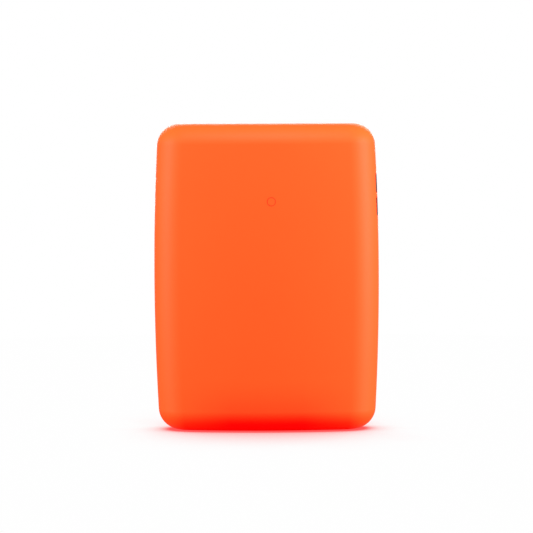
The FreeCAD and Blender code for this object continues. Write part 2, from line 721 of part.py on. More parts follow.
def capacitors():
    """Three polymer cans on the right, and a field of small ceramic and resistor chips."""
    can = s.capacitor_radius
    high = s.capacitor_height
    points = [(0, 0), (can + 0.15, 0), (can + 0.15, 1.0), (can - 0.15, 1.2), (can - 0.15, 1.6), (can, 1.8),
              (can, high - 0.3), (can - 0.2, high), (0, high)]
    forward = FreeCAD.Rotation(Vector(1, 0, 0), 90)
    cans = [turned("can_%d" % i, points, s.capacitor_x, board_front,
                   board_top_z - 36.5 + s.capacitor_pitch * i, forward) for i in range(3)]
    keep(group("can_set", cans), "polymer_capacitors")
    small = [on_board("ceramic_%d" % i, -10.0 + 4.2 * (i % 5), board_top_z - 15.5 + 3.4 * (i // 5),
                      s.ceramic_width, s.ceramic_height, s.ceramic_depth) for i in range(10)]
    keep(group("ceramic_set", small), "ceramic_capacitors")
    chips = [on_board("resistor_%d" % i, 2.0 + 2.2 * (i % 6), board_top_z - 34.0 + 1.8 * (i // 6),
                      s.resistor_width, s.resistor_height, s.resistor_depth) for i in range(12)]
    keep(group("resistor_set", chips), "chip_resistors")


def transistors():
    dies = [on_board("transistor_%d" % i, -24.0 + 6.6 * (i % 2), board_top_z - 17.0 + 7.2 * (i // 2),
                     s.transistor_width, s.transistor_height, s.transistor_depth) for i in range(4)]
    return keep(group("transistor_set", dies), "power_transistors")


def heat_spreader():
    """A finned aluminium plate stuck to the board's back by a soft pad."""
    half = s.spreader_half_width
    low_z = board_top_z - 35.0
    high_z = board_top_z - 9.0
    pad_back = board_back + s.thermal_pad_thickness
    keep(block("pad_block", (-half, board_back, low_z), (half, pad_back, high_z)), "thermal_pad")
    plate_back = pad_back + s.spreader_thickness
    plate = block("spreader_plate", (-half, pad_back, low_z), (half, plate_back, high_z))
    fins = []
    for i in range(7):
        left = s.fin_pitch * i + 1.0 - half
        fins.append(block("fin_%d" % i, (left, pad_back, low_z),
                          (left + s.fin_width, plate_back + s.fin_height, high_z)))
    return keep(fuse("heat_spreader_body", [plate] + fins), "heat_spreader")


# ---------------------------------------------------------------- cells

def cell(index, x):
    """One steel cell, standing on its flat end, inside a thin shrink sleeve."""
    can = can_radius
    shoulder = can - s.cell_chamfer
    top = s.cell_length
    points = [(0, 0), (shoulder, 0), (can, s.cell_chamfer), (can, top - 4.4), (can - 0.7, top - 3.9),
              (can - 0.7, top - 3.3), (can, top - 2.8), (can, top - 1.0), (shoulder, top - 0.4),
              (vent_radius, top - 0.4), (vent_radius, top - 0.9), (s.cell_cap_radius, top - 0.9),
              (s.cell_cap_radius, top), (0, top)]
    keep(turned("cell_%d_body" % index, points, x, s.cell_y, s.cell_base_z), "cell_%d" % index)
    inside = can + s.wrap_gap
    sleeve = turned("cell_wrap_%d_body" % index, [(inside, 1.0), (inside, top - 1.2),
                                                  (s.cell_radius, top - 1.2), (s.cell_radius, 1.0)],
                    x, s.cell_y, s.cell_base_z)
    keep(sleeve, "cell_wrap_%d" % index)


def cell_washers():
    low = s.cell_length - 0.4
    high = low + s.washer_thickness
    bore = s.cell_cap_radius + s.free_gap
    rim = vent_radius + s.washer_overlap
    points = [(bore, low), (rim, low), (rim, high), (bore, high)]
    rings = [turned("washer_%d" % i, points, x, s.cell_y, s.cell_base_z) for i, x in enumerate(cell_xs)]
    return keep(group("washer_set", rings), "cell_washers")


def cell_holder(label, plate_z0, plate_z1, rib_z0, rib_z1, strip_z, tab_x):
    """A plate with a window over each cell end, ribs between the cells and a channel for the strip."""
    side = s.case_width / 2
    z0, z1 = (plate_z0, rib_z1) if number(plate_z0) < number(rib_z0) else (rib_z0, plate_z1)
    whole = block(label + "_block", (-side, holder_front, z0), (side, holder_back, z1))
    solid = common(label + "_solid", [whole, clear_form])
    sockets = [rod("%s_socket_%d" % (label, i), s.cell_radius + s.cell_gap / 4, rib_z1 - rib_z0,
                   x, s.cell_y, rib_z0) for i, x in enumerate(cell_xs)]
    windows = [rod("%s_window_%d" % (label, i), s.window_radius, z1 - z0, x, s.cell_y, z0)
               for i, x in enumerate(cell_xs)]
    half = s.strip_width / 2 + s.running_gap
    tab = s.tab_width / 2 + s.running_gap
    channels = [block(label + "_channel", (-side, s.cell_y - half, strip_z),
                      (side, s.cell_y + half, strip_z + s.strip_thickness)),
                block(label + "_tab_channel", (tab_x - tab, holder_front - s.wall, strip_z),
                      (tab_x + tab, s.cell_y, strip_z + s.strip_thickness))]
    return keep(cut(label + "_body", solid, group(label + "_openings", sockets + windows + channels)), label)


def cell_strip(label, z, tab_x):
    """A nickel strip across all four cell ends, with a tab forward to its wire."""
    body = doc.addObject("PartDesign::Body", label + "_body")
    profile = sketch_on(body, label + "_profile", "XY_Plane", z)
    half = s.strip_width / 2
    left = cell_xs[0] - half
    right = cell_xs[3] + half
    tab = s.tab_width / 2
    near = s.cell_y - half
    far = s.cell_y + half
    tip = s.cell_y - s.tab_reach
    outline(profile, [(left, near), (tab_x - tab, near), (tab_x - tab, tip), (tab_x + tab, tip),
                      (tab_x + tab, near), (right, near), (right, far), (left, far)])
    pad(body, profile, s.strip_thickness)
    slots = sketch_on(body, label + "_slots", "XY_Plane", z)
    for x in cell_xs:
        rectangle(slots, x - 0.4, s.cell_y - half * 0.6, x + 0.4, s.cell_y + half * 0.6)
    pocket(body, slots, s.strip_thickness, backwards=True)
    return keep(body, label)


def foam():
    """Soft pads that hold the cells off the case in front, behind and below."""
    front = -s.case_depth / 2
    near_wall = case_blank("foam_form", s.wall + s.touch_gap)
    cells = [rod("foam_cell_%d" % i, s.cell_radius + s.touch_gap, s.cell_length * 1.2, x, s.cell_y,
                 s.cell_base_z / 2) for i, x in enumerate(cell_xs)]
    pad_back = s.cell_y - s.cell_radius + s.pad_wrap
    pads = [block("front_pad_%d" % i, (x - s.pad_half_width, front, s.pad_low_z),
                  (x + s.pad_half_width, pad_back, s.pad_high_z)) for i, x in enumerate(cell_xs[1:3])]
    keep(cut("foam_front_body", common("foam_front_solid", [group("front_pads", pads), near_wall]),
             group("foam_cells", cells)), "foam_pads_front")
    strip_front = s.cell_y + s.cell_radius + s.touch_gap
    strip_back = s.case_depth / 2 - s.wall - s.touch_gap
    strips = [block("rear_strip_%d" % i, (x - s.strip_half_width, strip_front, s.strip_low_z),
                    (x + s.strip_half_width, strip_back, s.strip_high_z)) for i, x in enumerate(cell_xs)]
    keep(group("rear_strips", strips), "foam_strips_rear")
    bumper_back = s.parting_y - s.tongue_height - s.free_gap
    keep(block("bumper_block", (-s.bumper_half_width, s.bumper_front, s.wall + s.touch_gap),
               (s.bumper_half_width, bumper_back, holder_base_z - s.touch_gap)), "bottom_bumper")


# ---------------------------------------------------------------- wires

def tube(name, points, radius):
    """A round wire along straight runs joined by tangent arcs."""
    runs = [points[i + 1] - points[i] for i in range(len(points) - 1)]
    edges = []
    start = points[0]
    for i in range(1, len(points) - 1):
        before, after = runs[i - 1], runs[i]
        half_turn = before.getAngle(after) / 2
        trim = 0.45 * min(before.Length, after.Length)
        into = Vector(before).normalize()
        out = Vector(after).normalize()
        first = points[i] - into * trim
        last = points[i] + out * trim
        bend = trim / math.tan(half_turn)
        inward = (out - into).normalize()
        middle = points[i] + inward * (bend / math.cos(half_turn) - bend)
        edges += [Part.LineSegment(start, first).toShape(), Part.Arc(first, middle, last).toShape()]
        start = last
    edges.append(Part.LineSegment(start, points[-1]).toShape())
    path = Part.Wire(edges)
    ring = Part.Wire([Part.makeCircle(radius, points[0], runs[0])])
    made = doc.addObject("Part::Feature", name)
    made.Shape = path.makePipeShell([ring], True, False)
    return made


def point(x, y, z):
    return Vector(number(x), number(y), number(z))


def battery_wires():
    """The two thick wires from the strips' tabs, in front of the cells, up to the plug."""
    wire_y = s.cell_y - s.tab_reach + s.wire_radius
    left = s.wire_x - s.wire_pitch / 2
    right = s.wire_x + s.wire_pitch / 2
    turn_z = cell_top_z + 3.5
    approach_z = plug_base_z - 4.5
    low_z = s.cell_base_z + s.touch_gap
    top_z = cell_top_z + s.strip_thickness + s.touch_gap
    for label, x0, z0, x1 in (("battery_wire_negative", channel_x, low_z, left),
                              ("battery_wire_positive", cell_xs[1], top_z, right)):
        route = [point(x0, wire_y, z0), point(x0, wire_y, turn_z), point(x1, s.wire_y, approach_z),
                 point(x1, s.wire_y, plug_base_z)]
        keep(tube(label + "_run", route, s.wire_radius.value), label)


def battery_plug():
    """The plug on the two wires, and the open socket on the board that it fills."""
    x0 = s.wire_x - s.wire_pitch
    x1 = s.wire_x + s.wire_pitch
    wall = s.plug_wall
    top = plug_base_z + s.plug_length
    front = s.wire_y - s.plug_reach
    shell = block("socket_block", (x0, front, plug_base_z + 2.0), (x1, board_front, top + wall))
    hollow = block("socket_hollow", (x0 + wall, front + wall, plug_base_z),
                   (x1 - wall, board_front - wall, top))
    keep(cut("socket_cut", shell, hollow), "battery_socket")
    gap = wall + s.running_gap
    keep(block("plug_block", (x0 + gap, front + gap, plug_base_z),
               (x1 - gap, board_front - gap, top - s.free_gap)), "battery_plug")


def thermistor():
    """A bead in the channel behind two cells, with its pair of thin leads and their socket."""
    y = holder_back + s.free_gap * 3
    bead = turned("bead", [(0, 0), (1.0, 0.2), (1.3, 1.2), (1.0, 2.6), (0, 3.0)], 0.0, y, s.bead_z)
    keep(bead, "thermistor")
    turn_z = cell_top_z + 6.0
    leads = []
    for i, side in enumerate((-1, 1)):
        x = side * s.lead_pitch / 2
        route = [point(x, y, s.bead_z + 3.05), point(x, y, turn_z - 4),
                 point(x, board_back + 2.0, turn_z + 2), point(x, board_back + 2.0, turn_z + 5.0)]
        leads.append(tube("lead_%d" % i, route, s.lead_radius.value))
    keep(group("lead_set", leads), "thermistor_leads")
    keep(block("lead_socket_block", (-3.0, board_back, turn_z + 5.05), (3.0, board_back + 3.6, turn_z + 8.8)),
         "thermistor_socket")


def check_and_write():
    doc.recompute()
    for item in doc.Objects:
        if {"Invalid", "Error"} & set(item.State):
            raise RuntimeError("failed feature: %s %s" % (item.Name, item.State))
    for item in parts:
        if item.Shape.isNull() or not item.Shape.isValid() or not item.Shape.Solids:
            raise RuntimeError("bad shape: " + item.Label)
    os.makedirs("parts", exist_ok=True)
    for item in parts:
        item.Shape.exportStep("parts/%s.step" % item.Label)
        print("%-24s %2d solids %10.2f mm3" % (item.Label, len(item.Shape.Solids), item.Shape.Volume))
    print(len(parts), "nodes")


# ---------------------------------------------------------------- the whole power bank

outer = case_blank("outer_form", 0)
inner = case_blank("inner_form", s.wall)
clear_form = case_blank("clear_form", s.wall + s.tongue_gap + s.tongue_thickness + s.free_gap)
front_shell()
rear_cover()
case_seal()
case_fasteners()
for port_name, port_z in port_zs.items():
    usb_socket(port_name, port_z)
    port_lip(port_name, port_z)
power_button()
tact_switch()
light_pipe()
indicator_leds()
main_board()
board_fasteners()
component_z = board_top_z - 25.0
inductor("boost_inductor", s.coil_x, component_z, s.coil_width, s.coil_depth)
inductor("input_inductor", s.coil_x + s.coil_pitch, component_z, s.coil_width, s.coil_depth)
chip("controller_chip", 8.0, component_z, s.controller_width, s.chip_depth)
chip("charger_chip", 14.0, board_top_z - 17.0, s.charger_width, s.chip_depth)
chip("protection_chip", -26.5, board_top_z - 27.0, s.protection_width, s.chip_depth)
shunt = on_board("shunt_block", -26.0, board_top_z - 35.0, s.shunt_width, s.shunt_height, s.chip_depth)
keep(shunt, "current_shunt")
capacitors()
transistors()
heat_spreader()
for cell_number, cell_x in enumerate(cell_xs, start=1):
    cell(cell_number, cell_x)
cell_washers()
cell_holder("cell_holder_lower", holder_base_z, negative_z, negative_z, s.cell_base_z + s.holder_rib,
            negative_z, channel_x)
positive_z = cell_top_z + s.strip_thickness
cell_holder("cell_holder_upper", positive_z, positive_z + s.holder_plate, cell_top_z - s.holder_rib, positive_z,
            cell_top_z, cell_xs[1])
cell_strip("nickel_strip_negative", negative_z, channel_x)
cell_strip("nickel_strip_positive", cell_top_z, cell_xs[1])
foam()
battery_wires()
battery_plug()
thermistor()
check_and_write()
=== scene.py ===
import math

import bmesh
import bpy
import numpy as np
from mathutils import Matrix, Vector


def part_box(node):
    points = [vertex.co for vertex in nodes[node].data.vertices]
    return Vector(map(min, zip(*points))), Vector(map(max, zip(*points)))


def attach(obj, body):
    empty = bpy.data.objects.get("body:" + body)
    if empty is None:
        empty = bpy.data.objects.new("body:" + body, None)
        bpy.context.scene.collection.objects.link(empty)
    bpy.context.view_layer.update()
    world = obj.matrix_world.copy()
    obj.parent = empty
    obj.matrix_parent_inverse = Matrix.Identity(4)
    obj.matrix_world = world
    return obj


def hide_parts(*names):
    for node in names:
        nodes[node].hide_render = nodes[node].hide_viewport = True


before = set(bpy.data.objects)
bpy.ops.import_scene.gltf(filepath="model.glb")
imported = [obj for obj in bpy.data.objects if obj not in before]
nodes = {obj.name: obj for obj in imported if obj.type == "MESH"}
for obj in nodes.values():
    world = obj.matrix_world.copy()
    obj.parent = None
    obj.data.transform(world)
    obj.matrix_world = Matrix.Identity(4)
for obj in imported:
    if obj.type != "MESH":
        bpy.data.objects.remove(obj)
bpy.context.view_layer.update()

# Metres, in the same frame as the CAD: +Z up, -Y out of the crowned front, +X towards the sockets.

MM = 0.001


def box(node):
    """A node's lowest and highest corners as two arrays."""
    low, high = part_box(node)
    return np.array(low, float), np.array(high, float)


def middle_of(node):
    low, high = box(node)
    return (low + high) / 2


# ---------------------------------------------------------------- sizes

# the case's form
HALF_WIDTH, HALF_DEPTH, HEIGHT = np.maximum(box("front_shell")[1], box("rear_cover")[1])
PARTING = box("front_shell")[1][1]
SIDE_BULGE = 2.1 * MM
FRONT_CROWN = 1.0 * MM
CROWN_RADIUS = 180 * MM
END_RADIUS = 9.2 * MM
WALL = 2.0 * MM
SEAM_RADIUS = 0.22 * MM

# how finely the case is divided
CROWN_STEPS = 40
ROUND_STEPS = 16
FLAT_STEPS = 12
END_STEPS = 12
WALL_STEPS = 44
SEAM_SEGMENTS = 3
BAR_STEPS = 14
SLOT_STEPS = 16
RING_STEPS = 48

# how shading is told to follow the form
NORMAL_STEP = 0.01 * MM
ON_FORM = 0.02 * MM
SAME_WAY = 0.86
CREASE = 0.8
CASE_SHARP = 35.0
LIP_SHARP = 50.0
CAP_SHARP = 40.0

# how far cutters reach past the outside and into the wall
PAST = 3 * MM
INTO = 4 * MM

# socket lips in the right side
PORTS = ("upper", "lower")
LIP_GAP = 0.05 * MM
LIP_WALL = 0.42 * MM
LIP_ROUND = 0.16 * MM
LIP_SINK = 0.05 * MM

# button and lights on top
TOP_ROW_Y = -1.4 * MM
BUTTON_X = middle_of("power_button")[0]
BUTTON_HOLE = (14.0 * MM, 5.0 * MM)
BUTTON_GAP = 0.16 * MM
BUTTON_ROUND = 0.45 * MM
BUTTON_ROUND_STEPS = 4
BUTTON_DISH = ((0.55, 0.05 * MM), (0.25, 0.09 * MM))
FLANGE_UNDER = 0.96 * MM
FLANGE_CHAMFER = 0.1 * MM
FLANGE_HEIGHT = 0.8 * MM
CAP_STEP = 0.01 * MM
STEM_Y = 0.5 * MM
STEM_WIDTH = 2.4 * MM
STEM_OVERLAP = 0.4 * MM
PIN_HOLE = 1.9 * MM
PIN_INSET = 1.5 * MM
PIN_PITCH = 4.5 * MM
PIN_COUNT = 4

# ring mark on the front
MARK_X = 2.2 * MM
MARK_Z = HEIGHT - 34.2 * MM
MARK_OUTER = 2.0 * MM
MARK_INNER = 1.65 * MM
MARK_DEPTH = 0.15 * MM
INLAY_GAP = 0.01 * MM
INLAY_FLOOR = 0.005 * MM
INLAY_FACE = 0.06 * MM

# screw plugs in the back
PLUG_RADIUS = 2.5 * MM
PLUG_GAP = 0.08 * MM
PLUG_PLACES = [(side * 35.0 * MM, z) for side in (-1, 1) for z in (84.0 * MM, 122.0 * MM)]


# ---------------------------------------------------------------- the case's form
# The same form as the CAD case: level outlines of six arcs and a flat back, drawn in at both ends.

def rise_at(z):
    """A height as -1 at the foot, 0 halfway and 1 at the top."""
    return (z - HEIGHT / 2) / (HEIGHT / 2)


def section(z, inset):
    """The arcs of one level outline: half width, back, crown and round centres and radii."""
    rise = rise_at(z)
    side = HALF_WIDTH - SIDE_BULGE * rise ** 2 - inset
    front = HALF_DEPTH - FRONT_CROWN * rise ** 2 - inset
    back = HALF_DEPTH - inset
    crown = CROWN_RADIUS - inset
    front_round = (crown ** 2 - side ** 2 - (crown - front - PARTING) ** 2) / (2 * (crown - side))
    crown_y = crown - front
    round_x = side - front_round
    slope = math.atan2(crown_y - PARTING, round_x)
    return side, back, crown, crown_y, front_round, round_x, slope, back - PARTING


def drawn_in(z):
    """How far the round end edges draw the outline in at a height."""
    rise = min(z, HEIGHT - z)
    if rise >= END_RADIUS:
        return 0.0
    return END_RADIUS - math.sqrt(max(END_RADIUS ** 2 - (END_RADIUS - rise) ** 2, 0.0))


def depth_inside(x, y, z):
    """How far a point lies inside the level outline at its height."""
    side, back, crown, crown_y, front_round, round_x, slope, rear_round = section(z, 0.0)
    across = abs(x)
    if y < PARTING:
        if math.atan2(crown_y - y, across) >= slope:
            return crown - math.hypot(across, crown_y - y)
        return front_round - math.hypot(across - round_x, y - PARTING)
    if across > side - rear_round:
        return rear_round - math.hypot(across - side + rear_round, y - PARTING)
    return back - y


def form_level(x, y, z):
    """Nothing on the case's surface, more inside it and less outside."""
    return depth_inside(x, y, z) - drawn_in(min(max(z, 0.0), HEIGHT))


def form_normal(x, y, z):
    """The outward direction of the case's smooth form at a point of its surface."""
    step = NORMAL_STEP
    if z < step:
        return Vector((0, 0, -1))
    if z > HEIGHT - step:
        return Vector((0, 0, 1))
    slope = Vector((form_level(x + step, y, z) - form_level(x - step, y, z),
                    form_level(x, y + step, z) - form_level(x, y - step, z),
                    form_level(x, y, z + step) - form_level(x, y, z - step)))
    return -slope.normalized()


def side_surface(y, z):
    """How far right the case's side stands at a place in front of the seam."""
    outline = section(z, 0.0)
    front_round, round_x = outline[4], outline[5]
    return round_x + math.sqrt(front_round ** 2 - (y - PARTING) ** 2)


def half_outline(z, inset, front):
    """One half's points at a height, from its right seam round to its left seam."""
    side, back, crown, crown_y, front_round, round_x, slope, rear_round = section(z, inset)
    if front:
        turns = [-slope * k / ROUND_STEPS for k in range(ROUND_STEPS)]
        right = [(round_x + front_round * math.cos(turn), PARTING + front_round * math.sin(turn))
                 for turn in turns]
        half_crown = math.pi / 2 - slope
        turns = [half_crown * (1 - 2 * k / CROWN_STEPS) for k in range(CROWN_STEPS + 1)]
        middle = [(crown * math.sin(turn), crown_y - crown * math.cos(turn)) for turn in turns]
    else:
        turns = [math.pi / 2 * k / ROUND_STEPS for k in range(ROUND_STEPS)]
        right = [(side - rear_round + rear_round * math.cos(turn),
                  PARTING + rear_round * math.sin(turn)) for turn in turns]
        middle = [((side - rear_round) * (1 - 2 * k / FLAT_STEPS), back)
                  for k in range(FLAT_STEPS + 1)]
    return right + middle + [(-x, y) for x, y in reversed(right)]


def levels(inset):
    """Heights up the case and how far each outline is drawn in, closest round the end edges."""
    radius = END_RADIUS - inset
    foot = []
    for k in range(END_STEPS):
        turn = math.pi / 2 * k / END_STEPS
        foot.append((inset + radius * (1 - math.cos(turn)), inset + radius * (1 - math.sin(turn))))
    straight = HEIGHT - 2 * END_RADIUS
    walls = [(END_RADIUS + straight * k / WALL_STEPS, inset) for k in range(WALL_STEPS + 1)]
    return foot + walls + [(HEIGHT - z, pull) for z, pull in reversed(foot)]


# ---------------------------------------------------------------- mesh tools

def finished(bm, name):
    """A bmesh as an object in the scene."""
    bmesh.ops.recalc_face_normals(bm, faces=bm.faces)
    mesh = bpy.data.meshes.new(name)
    bm.to_mesh(mesh)
    bm.free()
    made = bpy.data.objects.new(name, mesh)
    bpy.context.scene.collection.objects.link(made)
    return made


def band(bm, one, two):
    """A closed band of faces between two rings of as many vertices."""
    count = len(one)
    for k in range(count):
        bm.faces.new((one[k], one[(k + 1) % count], two[(k + 1) % count], two[k]))


def obround_ring(width, height, steps):
    """Points round a slot outline: width along the first axis and height across it."""
    radius = height / 2
    reach = width / 2 - radius
    ring = []
    for side, start in ((1, -math.pi / 2), (-1, math.pi / 2)):
        for k in range(steps + 1):
            turn = start + math.pi * k / steps
            ring.append((side * reach + radius * math.cos(turn), radius * math.sin(turn)))
    return ring


def slot_stack(name, centre, outlines, along, steps=SLOT_STEPS):
    """A closed solid through slot outlines given as (place, width, height) along X, Y or Z."""
    bm = bmesh.new()
    rows = []
    for place, width, height in outlines:
        ring = obround_ring(width, height, steps)
        if along == "x":
            points = [(place, centre[1] + b, centre[2] + a) for a, b in ring]
        elif along == "y":
            points = [(centre[0] + a, place, centre[2] + b) for a, b in ring]
        else:
            points = [(centre[0] + a, centre[1] + b, place) for a, b in ring]
        rows.append([bm.verts.new(point) for point in points])
    for low, high in zip(rows, rows[1:]):
        band(bm, low, high)
    bm.faces.new(rows[0])
    bm.faces.new(rows[-1])
    return finished(bm, name)


def slot_bar(name, centre, width, height, start, end, along):
    """A slot-shaped bar between two places on an axis."""
    return slot_stack(name, centre, ((start, width, height), (end, width, height)), along, BAR_STEPS)


def tube_along_y(name, x, z, outer_radius, inner_radius, start, end):
    """A plain tube along Y."""
    bm = bmesh.new()
    loops = []
    for radius, y in ((outer_radius, start), (outer_radius, end),
                      (inner_radius, end), (inner_radius, start)):
        turns = [2 * math.pi * k / RING_STEPS for k in range(RING_STEPS)]
        loops.append([bm.verts.new((x + radius * math.cos(turn), y, z + radius * math.sin(turn)))
                      for turn in turns])
    for one, two in zip(loops, loops[1:] + loops[:1]):
        band(bm, one, two)
    return finished(bm, name)


def carve(piece, cutters, operation="DIFFERENCE"):
    """Takes the cutters out of a piece, or joins them to it, and removes them."""
    for cutter in cutters:
        modifier = piece.modifiers.new("cut", "BOOLEAN")
        modifier.operation = operation
        modifier.solver = "EXACT"
        modifier.object = cutter
    graph = bpy.context.evaluated_depsgraph_get()
    carved = bpy.data.meshes.new_from_object(piece.evaluated_get(graph))
    piece.modifiers.clear()
    old = piece.data
    piece.data = carved
    bpy.data.meshes.remove(old)
    for cutter in cutters:
        bpy.data.objects.remove(cutter)


def smooth(piece, angle):
    """Smooth shading with edges left sharp above an angle in degrees."""
    piece.data.shade_smooth()
    piece.data.set_sharp_from_angle(angle=math.radians(angle))


def follow_form(piece):
    """Shades the outer skin with the case form's own normals, so cuts leave no dents."""
    smooth(piece, CASE_SHARP)
    mesh = piece.data
    normals = [Vector(n.vector) for n in mesh.corner_normals]
    on_form = {}
    for v in mesh.vertices:
        x, y, z = v.co
        if abs(form_level(x, y, z)) < ON_FORM or z < NORMAL_STEP or z > HEIGHT - NORMAL_STEP:
            on_form[v.index] = form_normal(x, y, z)
    for face in mesh.polygons:
        for loop in face.loop_indices:
            form = on_form.get(mesh.loops[loop].vertex_index)
            if form is not None and form.dot(face.normal) > SAME_WAY:
                normals[loop] = form
    mesh.normals_split_custom_set(normals)


def hand_over(piece, finish, body, node=None):
    """Gives a piece its material, slot and body, and hides the CAD node it stands for if any."""
    piece.data.materials.append(finish)
    if node:
        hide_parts(node)
    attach(piece, body)


# ---------------------------------------------------------------- material tools

def new_material(name):
    made = bpy.data.materials.new(name)
    made.use_nodes = True
    tree = made.node_tree
    return made, tree, tree.nodes["Principled BSDF"]


def object_coords(tree):
    return tree.nodes.new("ShaderNodeTexCoord").outputs["Object"]


def noise_on(tree, coords, scale, detail=3.0):
    node = tree.nodes.new("ShaderNodeTexNoise")
    node.inputs["Scale"].default_value = scale
    node.inputs["Detail"].default_value = detail
    node.inputs["Roughness"].default_value = 0.55
    tree.links.new(coords, node.inputs["Vector"])
    return node.outputs["Fac"]


def ramp(tree, value, low, high, low_out, high_out):
    """A value stretched from one range to another."""
    node = tree.nodes.new("ShaderNodeMapRange")
    tree.links.new(value, node.inputs["Value"])
    for socket, number in (("From Min", low), ("From Max", high),
                           ("To Min", low_out), ("To Max", high_out)):
        node.inputs[socket].default_value = number
    return node.outputs["Result"]


def maths(tree, operation, *values):
    node = tree.nodes.new("ShaderNodeMath")
    node.operation = operation
    for socket, value in zip(node.inputs, values):
        tree.links.new(value, socket)
    return node.outputs["Value"]


def blend(tree, factor, first, second, kind="MIX"):
    """Two colours mixed; each is a plain colour or another node's result."""
    node = tree.nodes.new("ShaderNodeMix")
    node.data_type = "RGBA"
    node.blend_type = kind
    tree.links.new(factor, node.inputs["Factor"])
    for socket, value in (("A", first), ("B", second)):
        if isinstance(value, bpy.types.NodeSocket):
            tree.links.new(value, node.inputs[socket])
        else:
            node.inputs[socket].default_value = (*value, 1)
    return node.outputs["Result"]


def openness_near(tree, reach, samples):
    """One in the open, less where something stands within reach."""
    node = tree.nodes.new("ShaderNodeAmbientOcclusion")
    node.inputs["Distance"].default_value = reach
    node.samples = samples
    return node.outputs["AO"]


def grained(tree, shader, coords, scale, rough, relief):
    """Fine grain in gloss and relief."""
    fine = noise_on(tree, coords, scale, 2.0)
    tree.links.new(ramp(tree, fine, 0.3, 0.7, *rough), shader.inputs["Roughness"])
    node = tree.nodes.new("ShaderNodeBump")
    node.inputs["Strength"].default_value = 0.5
    node.inputs["Distance"].default_value = relief
    tree.links.new(fine, node.inputs["Height"])
    tree.links.new(node.outputs["Normal"], shader.inputs["Normal"])


def surface(name, colour, vary=0.06, rough=(0.4, 0.55), metal=0.0, grain=1500.0,
            relief=0.01 * MM, cloud=60.0, stretch=None, **sockets):
    """A plain moulded, machined or coated surface: cloudy colour under a fine grain."""
    made, tree, shader = new_material(name)
    coords = object_coords(tree)
    if stretch:
        mapping = tree.nodes.new("ShaderNodeMapping")
        mapping.inputs["Scale"].default_value = stretch
        tree.links.new(coords, mapping.inputs["Vector"])
        coords = mapping.outputs["Vector"]
    clouds = noise_on(tree, coords, cloud)
    darker = [c * (1 - vary) for c in colour]
    lighter = [min(c * (1 + vary), 1.0) for c in colour]
    tree.links.new(blend(tree, clouds, darker, lighter), shader.inputs["Base Color"])
    grained(tree, shader, coords, grain, rough, relief)
    shader.inputs["Metallic"].default_value = metal
    for socket, value in sockets.items():
        shader.inputs[socket.replace("_", " ")].default_value = value
    return made


def lighter_edges(made):
    """Lightens a surface along its sharp edges."""
    tree = made.node_tree
    base_colour = tree.nodes["Principled BSDF"].inputs["Base Color"]
    edge = tree.nodes.new("ShaderNodeNewGeometry").outputs["Pointiness"]
    amount = ramp(tree, edge, 0.53, 0.62, 0.0, 0.25)
    plain = base_colour.links[0].from_socket
    tree.links.new(blend(tree, amount, plain, (0.6, 0.6, 0.6), "SCREEN"), base_colour)


# ---------------------------------------------------------------- the orange moulding

ORANGE = (0.95, 0.112, 0.015)
PLUG_ORANGE = (0.9, 0.1, 0.014)
MARK_ORANGE = (0.8, 0.05, 0.012)
# painted red glow: the orange mouldings emit red light though they are no lamp, so their shaded
# parts stay red
PAINTED_RED_GLOW = 0.9
# painted shade at the foot: close to the floor the orange is painted pure red, most in the middle of
# its width
FOOT_SHADE_RED = (0.95, 0.002, 0.0)
FOOT_REACH = 24 * MM
FOOT_OPENNESS = (0.24, 1.0)
FOOT_MIDDLE = (16 * MM, 42 * MM)


def orange_material(name, colour, rough):
    """Orange with a painted red glow: it emits red light though it is no lamp.
    Close to what it stands on it is painted pure red as shade, most in the middle of its width."""
    made, tree, shader = new_material(name)
    coords = object_coords(tree)
    clouds = noise_on(tree, coords, 45.0, 4.0)
    plain = blend(tree, clouds, [c * 0.97 for c in colour], [c * 1.03 for c in colour])
    # painted shade: where ambient occlusion finds the floor close, the colour turns to the painted
    # shade red
    closed = ramp(tree, openness_near(tree, FOOT_REACH, 8), *FOOT_OPENNESS, 1.0, 0.0)
    parts = tree.nodes.new("ShaderNodeSeparateXYZ")
    tree.links.new(coords, parts.inputs["Vector"])
    across = maths(tree, "ABSOLUTE", parts.outputs["X"])
    middle = ramp(tree, across, *FOOT_MIDDLE, 1.0, 0.0)
    painted_foot_shade = maths(tree, "MULTIPLY", closed, middle)
    tree.links.new(blend(tree, painted_foot_shade, plain, FOOT_SHADE_RED), shader.inputs["Base Color"])
    grained(tree, shader, coords, 2600.0, rough, 0.006 * MM)
    shader.inputs["Specular IOR Level"].default_value = 0.16
    shader.inputs["Sheen Weight"].default_value = 0.06
    shader.inputs["Sheen Roughness"].default_value = 0.35
    # painted glow: a red emission on a moulding that is no lamp
    shader.inputs["Emission Color"].default_value = (1, 0, 0, 1)
    shader.inputs["Emission Strength"].default_value = PAINTED_RED_GLOW
    return made


# ---------------------------------------------------------------- finishes by material slot

